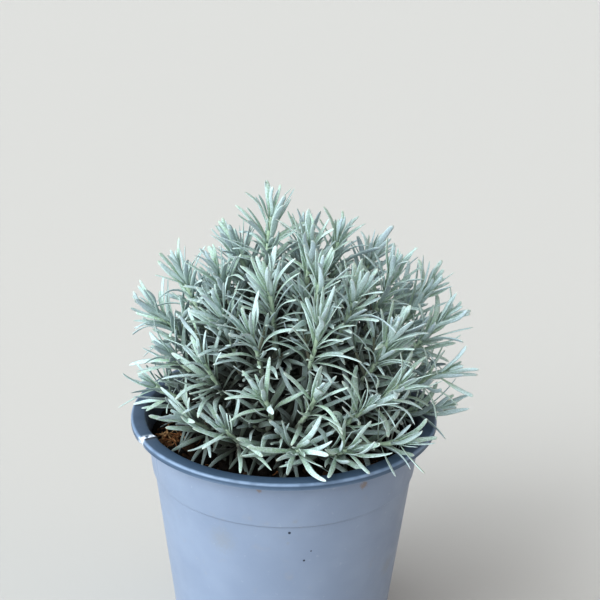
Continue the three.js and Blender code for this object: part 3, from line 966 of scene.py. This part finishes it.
def soil_height(points):
    """The height of the soil's uneven top at points."""
    flat = points * [1, 1, 0]
    clods = bump_noise(flat, 16, 11, 2) * 0.8
    crumbs = np.abs(bump_noise(flat, 5, 12, 3)) * 1.3
    return SOIL_LEVEL - 0.6 + clods + crumbs


def add_bed(skin):
    """The soil's closed body: rings up the pot's inside, then rings in to the middle of the top."""
    edge = BORE_AT_SOIL - SOIL_GAP
    radius = edge * np.sqrt(np.linspace(0.0004, 1, SOIL_RINGS))[::-1, None]
    angle = 2 * math.pi * np.arange(SOIL_TURNS) / SOIL_TURNS
    flat = np.stack(np.broadcast_arrays(radius * np.cos(angle), radius * np.sin(angle), 0.0), -1)
    top = flat.copy()
    top[..., 2] = soil_height(flat)
    floor = FLOOR_LIFT + WALL + 0.3
    sides = []
    for z in (floor, LEDGE_Z - 2, SOIL_LEVEL - 4):
        at = min(wall_radius(z) - WALL, edge + SOIL_GAP) - 0.5
        ring = flat[0] * (at / edge)
        ring[:, 2] = z
        sides.append(ring)
    rings = np.concatenate([np.array(sides), top])
    ends = [[0, 0, floor], [0, 0, top[-1, :, 2].mean()]]
    body = np.concatenate([rings.reshape(-1, 3), ends])
    skin.add(body, tube_faces(len(rings), SOIL_TURNS), 0, (BED_KIND, 0, 0))


def soil_piece(material):
    skin = Skin()
    add_bed(skin)
    add_crumbs(skin)
    add_fibres(skin)
    return skin.piece("soil_bed", [material], "potting_soil", "soil")


def ball():
    """A round ball's points and faces."""
    bm = bmesh.new()
    bmesh.ops.create_icosphere(bm, subdivisions=2, radius=1)
    points = np.array([v.co for v in bm.verts])
    faces = np.array([[v.index for v in f.verts] for f in bm.faces])
    bm.free()
    return points, faces


def place_on_soil(from_edge):
    """A random place on the soil, that far or further from its edge."""
    radius = (BORE_AT_SOIL - from_edge) * math.sqrt(rng.uniform())
    angle = rng.uniform(0, 2 * math.pi)
    return np.array([radius * math.cos(angle), radius * math.sin(angle), 0.0])


def add_crumbs(skin):
    """Lumps of peat all over the soil."""
    points, faces = ball()
    for i in range(CRUMBS):
        at = place_on_soil(2.2)
        size = rng.gamma(3.0, 0.33) + 0.35
        at[2] = soil_height(at[None])[0] + 0.25 * size
        lumpy = points * (1 + 0.28 * bump_noise(points * 3, 3.2, SEED + i, 2))[:, None]
        body = at + lumpy * size * rng.uniform(0.6, 1.25, 3)
        skin.add(body, [faces], 0, (rng.uniform(*CRUMB_KINDS), 0, 0))


def add_fibre(skin, at, rise, kind):
    """One coir fibre that lies over the soil, bent sideways and arched up by rise."""
    way = unit(np.append(rng.normal(size=2), 0))
    side = np.array([-way[1], way[0], 0])
    steps = np.linspace(-0.5, 0.5, 9)
    line = at + way * (steps * rng.uniform(4, 13))[:, None]
    line += side * (rng.uniform(-2, 2) * np.cos(steps * 5))[:, None]
    line[:, 2] = soil_height(line) + 0.4 + rise * np.cos(steps * math.pi)
    line = line[np.hypot(line[:, 0], line[:, 1]) < BORE_AT_SOIL - 1.5]
    if len(line) > 4:
        place = np.tile([kind, 0, 0], (len(line), 1))
        add_tube(skin, line, rng.uniform(0.16, 0.4), 6, 0, place, np.zeros((len(line), 3)))


def add_fibres(skin):
    """Fibres all over the soil, and a tuft of coir by the pot's crease."""
    for _ in range(FIBRES):
        add_fibre(skin, place_on_soil(6), rng.uniform(0, 1.2), rng.uniform(*FIBRE_KINDS))
    for _ in range(COIR_FIBRES):
        at = np.append(np.array(COIR_PLACE) + rng.normal(0, COIR_SPREAD, 2), 0.0)
        add_fibre(skin, at, rng.uniform(0.5, 4.0), rng.uniform(*COIR_KINDS))


# Materials


class Surface:
    """A node material in the making."""

    def __init__(self, name):
        self.material = bpy.data.materials.new(name)
        self.material.use_nodes = True
        self.tree = self.material.node_tree
        self.shader = self.tree.nodes["Principled BSDF"]

    def put(self, value, socket):
        """Links a socket's value to the socket, or sets it to a plain value."""
        if isinstance(value, bpy.types.NodeSocket):
            self.tree.links.new(value, socket)
        else:
            socket.default_value = value

    def shade(self, **inputs):
        """Puts values into the shader's inputs, with _ for a space in their names."""
        for label, value in inputs.items():
            self.put(value, self.shader.inputs[label.replace("_", " ")])

    def node(self, kind, inputs=(), **settings):
        made = self.tree.nodes.new(kind)
        for label, value in settings.items():
            setattr(made, label, value)
        for label, value in dict(inputs).items():
            self.put(value, made.inputs[label])
        return made

    def attribute(self, name):
        vector = self.node("ShaderNodeAttribute", attribute_name=name).outputs["Vector"]
        parts = self.node("ShaderNodeSeparateXYZ", {0: vector})
        return [parts.outputs[axis] for axis in "XYZ"]

    def object_place(self):
        return self.node("ShaderNodeTexCoord").outputs["Object"]

    def noise(self, size, detail=3.0, stretch=None):
        """Noise from 0 to 1 with blobs of that size in millimetres."""
        place = self.object_place()
        if stretch:
            place = self.node("ShaderNodeMapping", {"Vector": place, "Scale": stretch}).outputs[0]
        inputs = {"Vector": place, "Scale": 1 / (size * MM), "Detail": detail}
        return self.node("ShaderNodeTexNoise", inputs).outputs["Fac"]

    def math(self, operation, a, b=0.0, clamp=False):
        made = self.node("ShaderNodeMath", {0: a, 1: b}, operation=operation, use_clamp=clamp)
        return made.outputs[0]

    def between(self, value, low, high, to_low=0.0, to_high=1.0):
        """A smooth ramp: to_low at low, to_high at high, and no more beyond."""
        made = self.node(
            "ShaderNodeMapRange",
            {"Value": value, "From Min": low, "From Max": high, "To Min": to_low, "To Max": to_high},
            interpolation_type="SMOOTHSTEP",
        )
        return made.outputs[0]

    def blend(self, share, a, b):
        """A share of b over a, where each is a colour or a socket."""
        made = self.node("ShaderNodeMix", data_type="RGBA")
        for value, socket in zip((a, b), [s for s in made.inputs if s.type == "RGBA"]):
            self.put((*value, 1) if isinstance(value, tuple) else value, socket)
        self.put(share, next(s for s in made.inputs if s.type == "VALUE"))
        return next(s for s in made.outputs if s.type == "RGBA")

    def bump(self, height, depth):
        inputs = {"Height": height, "Distance": depth * MM, "Strength": 1.0}
        self.shade(Normal=self.node("ShaderNodeBump", inputs).outputs["Normal"])


LEAF_GREENER = (0.41, 0.53, 0.45)
LEAF_BLUER = (0.49, 0.595, 0.64)
LEAF_BASE = (0.37, 0.51, 0.34)
LEAF_OLD = (0.44, 0.50, 0.60)
LEAF_DASHES = (0.24, 0.36, 0.29)
LEAF_BELOW = (0.49, 0.56, 0.69)
LEAF_MARGIN = (0.52, 0.62, 0.62)
LEAF_TIP = (0.50, 0.52, 0.46)
LEAF_FELT = (0.50, 0.60, 0.63)
LEAF_PITS = (0.24, 0.35, 0.30)
LEAF_DRY = [(0.20, 0.12, 0.06), (0.52, 0.38, 0.24)]
LEAF_PAINTED_SHADE = (0.035, 0.04, 0.03)


def leaf_dashes(s, along, across, own):
    """Noise drawn out along each leaf, another for each leaf."""
    place = s.node("ShaderNodeCombineXYZ", {
        0: s.math("MULTIPLY", along, 11.0),
        1: s.math("MULTIPLY", across, 2.6),
        2: s.math("MULTIPLY", own, 90.0),
    }).outputs[0]
    inputs = {"Vector": place, "Scale": 1.0, "Detail": 3.0}
    return s.node("ShaderNodeTexNoise", inputs).outputs["Fac"]


def leaf_material():
    s = Surface("felted_leaf")
    along, across, up = s.attribute("place")
    own, rank, depth = s.attribute("life")
    off_middle = s.math("ABSOLUTE", across)
    felt = s.noise(0.9, 5.0)
    fine = s.noise(0.45, 2.0)
    dashes = leaf_dashes(s, along, across, own)
    colour = s.blend(s.between(own, 0.0, 1.0), LEAF_GREENER, LEAF_BLUER)
    base = s.math("MULTIPLY", s.between(along, 0.8, 0.1), s.between(rank, -0.2, 1.0, 0.5, 0.9))
    colour = s.blend(base, colour, LEAF_BASE)
    old = s.math("MULTIPLY", s.between(rank, 0.6, 0.0, 0.0, 0.8), s.between(own, 0.25, 0.9))
    colour = s.blend(old, colour, LEAF_OLD)
    colour = s.blend(s.between(dashes, 0.58, 0.38, 0.0, 0.5), colour, LEAF_DASHES)
    colour = s.blend(s.between(up, 0.0, -0.5, 0.0, 0.45), colour, LEAF_BELOW)
    colour = s.blend(s.between(off_middle, 0.62, 1.0, 0.0, 0.7), colour, LEAF_MARGIN)
    colour = s.blend(s.between(along, 0.92, 1.0, 0.0, 0.7), colour, LEAF_TIP)
    colour = s.blend(s.between(felt, 0.44, 0.62, 0.0, 0.55), colour, LEAF_FELT)
    colour = s.blend(s.between(fine, 0.5, 0.36, 0.0, 0.45), colour, LEAF_PITS)
    colour = s.blend(s.between(rank, -0.4, -0.8), colour, s.blend(felt, *LEAF_DRY))
    # Painted shade: leaves deep inside the foliage are painted near-black for the shade there, with a
    # little of the darker old inner leaves
    colour = s.blend(s.between(depth, 0.1, 0.42, 0.0, 0.985), colour, LEAF_PAINTED_SHADE)
    s.shade(Base_Color=colour, Roughness=0.9, Specular_IOR_Level=0.15)
    s.shade(Sheen_Weight=0.15, Sheen_Roughness=0.5)
    s.bump(fine, 0.2)
    return s.material


STEM_WOODY = (0.16, 0.12, 0.08)
STEM_GREEN = (0.36, 0.47, 0.35)
STEM_FELT = (0.52, 0.60, 0.52)
STEM_PAINTED_SHADE = (0.07, 0.05, 0.035)


def stem_material():
    s = Surface("felted_stem")
    height, _, _ = s.attribute("place")
    _, _, depth = s.attribute("life")
    grain = s.noise(1.2, 4.0, (1, 1, 0.3))
    colour = s.blend(s.between(height, 0.25, 0.7), STEM_WOODY, STEM_GREEN)
    colour = s.blend(s.between(grain, 0.35, 0.7, 0.0, 0.6), colour, STEM_FELT)
    # Painted shade: stems deep inside the foliage are painted dark for the shade there
    colour = s.blend(s.between(depth, 0.3, 0.8, 0.0, 0.85), colour, STEM_PAINTED_SHADE)
    s.shade(Base_Color=colour, Roughness=0.85, Sheen_Weight=0.2, Specular_IOR_Level=0.25)
    s.bump(grain, 0.3)
    return s.material


def add_spots(s, colour, spots, paint, share, edge, ragged):
    """The colour with round spots painted on the pot's wall, more or less ragged."""
    wobble = s.math("MULTIPLY", s.noise(1.1, 3.0), ragged)
    for heading, z, size in spots:
        turn = math.radians(heading)
        radius = wall_radius(z)
        centre = (radius * math.sin(turn) * MM, -radius * math.cos(turn) * MM, z * MM)
        off = s.node("ShaderNodeVectorMath", {0: s.object_place(), 1: centre}, operation="DISTANCE")
        off = s.math("MULTIPLY", off.outputs["Value"], 1 / (size * MM))
        border = 1.0 + ragged / 2
        spot = s.between(s.math("ADD", off, wobble), border, border - edge, 0.0, share)
        colour = s.blend(spot, colour, paint)
    return colour


POT_BLUE = [(0.212, 0.262, 0.353), (0.238, 0.29, 0.383)]
POT_LIP_PAINTED_SHADE = (0.038, 0.072, 0.121)
POT_EDGE_PAINTED_HIGHLIGHT = (0.24, 0.325, 0.45)
POT_DUST = (0.30, 0.29, 0.28)
POT_SCUFFS = (0.38, 0.43, 0.50)
POT_SMUDGE = (0.24, 0.25, 0.25)
POT_DIRT = (0.22, 0.15, 0.10)
POT_SPECK = (0.012, 0.02, 0.04)
CREASE_WHITE = (0.80, 0.85, 0.92)
CREASE_PAINTED_SHADE = (0.03, 0.025, 0.03)


def pot_material():
    s = Surface("moulded_plastic")
    stress_and_fold_shade, lip, edge = s.attribute("place")
    fine = s.noise(0.9, 2.0)
    colour = s.blend(s.between(s.noise(30, 3.0), 0.3, 0.7), *POT_BLUE)
    colour = s.blend(s.between(s.noise(7, 5.0), 0.62, 0.8, 0.0, 0.2), colour, POT_DUST)
    colour = s.blend(s.between(s.noise(2.2, 5.0), 0.66, 0.74, 0.0, 0.2), colour, POT_SCUFFS)
    colour = add_spots(s, colour, SMUDGES, POT_SMUDGE, 0.35, 1.0, 1.2)
    colour = add_spots(s, colour, DIRT, POT_DIRT, 0.6, 0.8, 1.6)
    colour = add_spots(s, colour, SPECKS, POT_SPECK, 0.95, 0.5, 0.5)
    # Painted shade: the lip and its skirt are painted dark slate, darker than the wall, for the shade
    # over them
    colour = s.blend(s.math("MULTIPLY", lip, 0.95), colour, POT_LIP_PAINTED_SHADE)
    # Painted highlight: a light line along the lip's outer top edge and the skirt's lower edge, broken
    # up by noise
    edge_highlight = s.math("MULTIPLY", edge, s.between(s.noise(5.0, 4.0), 0.3, 0.6, 0.45, 0.72))
    colour = s.blend(edge_highlight, colour, POT_EDGE_PAINTED_HIGHLIGHT)
    torn = s.between(s.noise(1.4, 3.0), 0.3, 0.55)
    colour = s.blend(s.math("MULTIPLY", stress_and_fold_shade, torn, True), colour, CREASE_WHITE)
    # Painted shade: the crease's fold is painted near-black for the shadow in it
    colour = s.blend(s.between(stress_and_fold_shade, -0.1, -0.8, 0.0, 0.85), colour, CREASE_PAINTED_SHADE)
    roughness = s.between(s.noise(14, 4.0), 0.3, 0.7, 0.36, 0.5)
    s.shade(Base_Color=colour, Roughness=roughness, Specular_IOR_Level=0.45)
    s.bump(fine, 0.03)
    return s.material


PEAT = [(0.005, 0.004, 0.0035), (0.015, 0.010, 0.007)]
PEAT_GRAINS = (0.034, 0.020, 0.013)
COIR_BROWN = (0.30, 0.14, 0.06)
COIR_PALE = (0.50, 0.33, 0.18)


def soil_material():
    s = Surface("peat_and_coir")
    kind, _, _ = s.attribute("place")
    fine = s.noise(0.8, 4.0)
    colour = s.blend(s.between(s.noise(5, 5.0), 0.35, 0.7), *PEAT)
    colour = s.blend(s.between(fine, 0.5, 0.8, 0.0, 0.5), colour, PEAT_GRAINS)
    colour = s.blend(s.between(kind, 0.6, 1.6), colour, COIR_BROWN)
    colour = s.blend(s.between(kind, 1.6, 2.0), colour, COIR_PALE)
    s.shade(Base_Color=colour, Roughness=0.92, Specular_IOR_Level=0.2)
    s.bump(fine, 0.6)
    return s.material


# Stage


def add_floor():
    mesh = bpy.data.meshes.new("floor")
    half = FLOOR_HALF_METRES
    corners = [(-half, -half, 0), (half, -half, 0), (half, half, 0), (-half, half, 0)]
    mesh.from_pydata(corners, [], [(0, 1, 2, 3)])
    s = Surface("pale_floor")
    s.shade(Base_Color=(*FLOOR_COLOUR, 1), Roughness=0.9)
    mesh.materials.append(s.material)
    new_object("floor", mesh)


def add_light(name, way, strength, spread, colour):
    """A soft far light that shines from a direction."""
    data = bpy.data.lights.new(name, "SUN")
    data.energy = strength
    data.angle = math.radians(spread)
    data.color = colour
    light = new_object(name, data)
    light.rotation_euler = Vector(way).to_track_quat("Z", "Y").to_euler()


def add_world():
    world = bpy.data.worlds.new("studio")
    world.use_nodes = True
    background = world.node_tree.nodes["Background"]
    background.inputs["Color"].default_value = (*WORLD_COLOUR, 1)
    background.inputs["Strength"].default_value = WORLD_STRENGTH
    bpy.context.scene.world = world


def add_camera():
    camera = new_object("camera", bpy.data.cameras.new("camera"))
    camera.data.lens = CAMERA_LENS
    camera.data.sensor_width = CAMERA_SENSOR
    turn = Matrix.Rotation(math.radians(-CAMERA_YAW), 4, "Z")
    turn = turn @ Matrix.Rotation(math.radians(90 - CAMERA_PITCH), 4, "X")
    turn = turn @ Matrix.Rotation(math.radians(CAMERA_ROLL), 4, "Z")
    camera.matrix_world = Matrix.Translation(Vector(CAMERA_PLACE) * MM) @ turn
    bpy.context.scene.camera = camera


def add_stage():
    add_floor()
    for light in LIGHTS:
        add_light(*light)
    add_world()
    add_camera()
    view = bpy.context.scene.view_settings
    view.view_transform = "Standard"
    view.look = "None"
    view.exposure = EXPOSURE
    view.gamma = GAMMA


pot_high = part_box("pot")[1]
RIM_RADIUS = pot_high.x / MM
POT_HEIGHT = pot_high.z / MM
NECK_Z = POT_HEIGHT - SKIRT_DROP
LEDGE_Z = POT_HEIGHT - LEDGE_BELOW_RIM
SOIL_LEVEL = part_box("soil")[1].z / MM - 1.0
BORE_AT_SOIL = wall_radius(SOIL_LEVEL) - WALL

pot_piece(pot_material())
soil_piece(soil_material())
felt, bark = leaf_material(), stem_material()
for shoot in grow():
    shoot_piece(shoot, felt, bark)
add_stage()
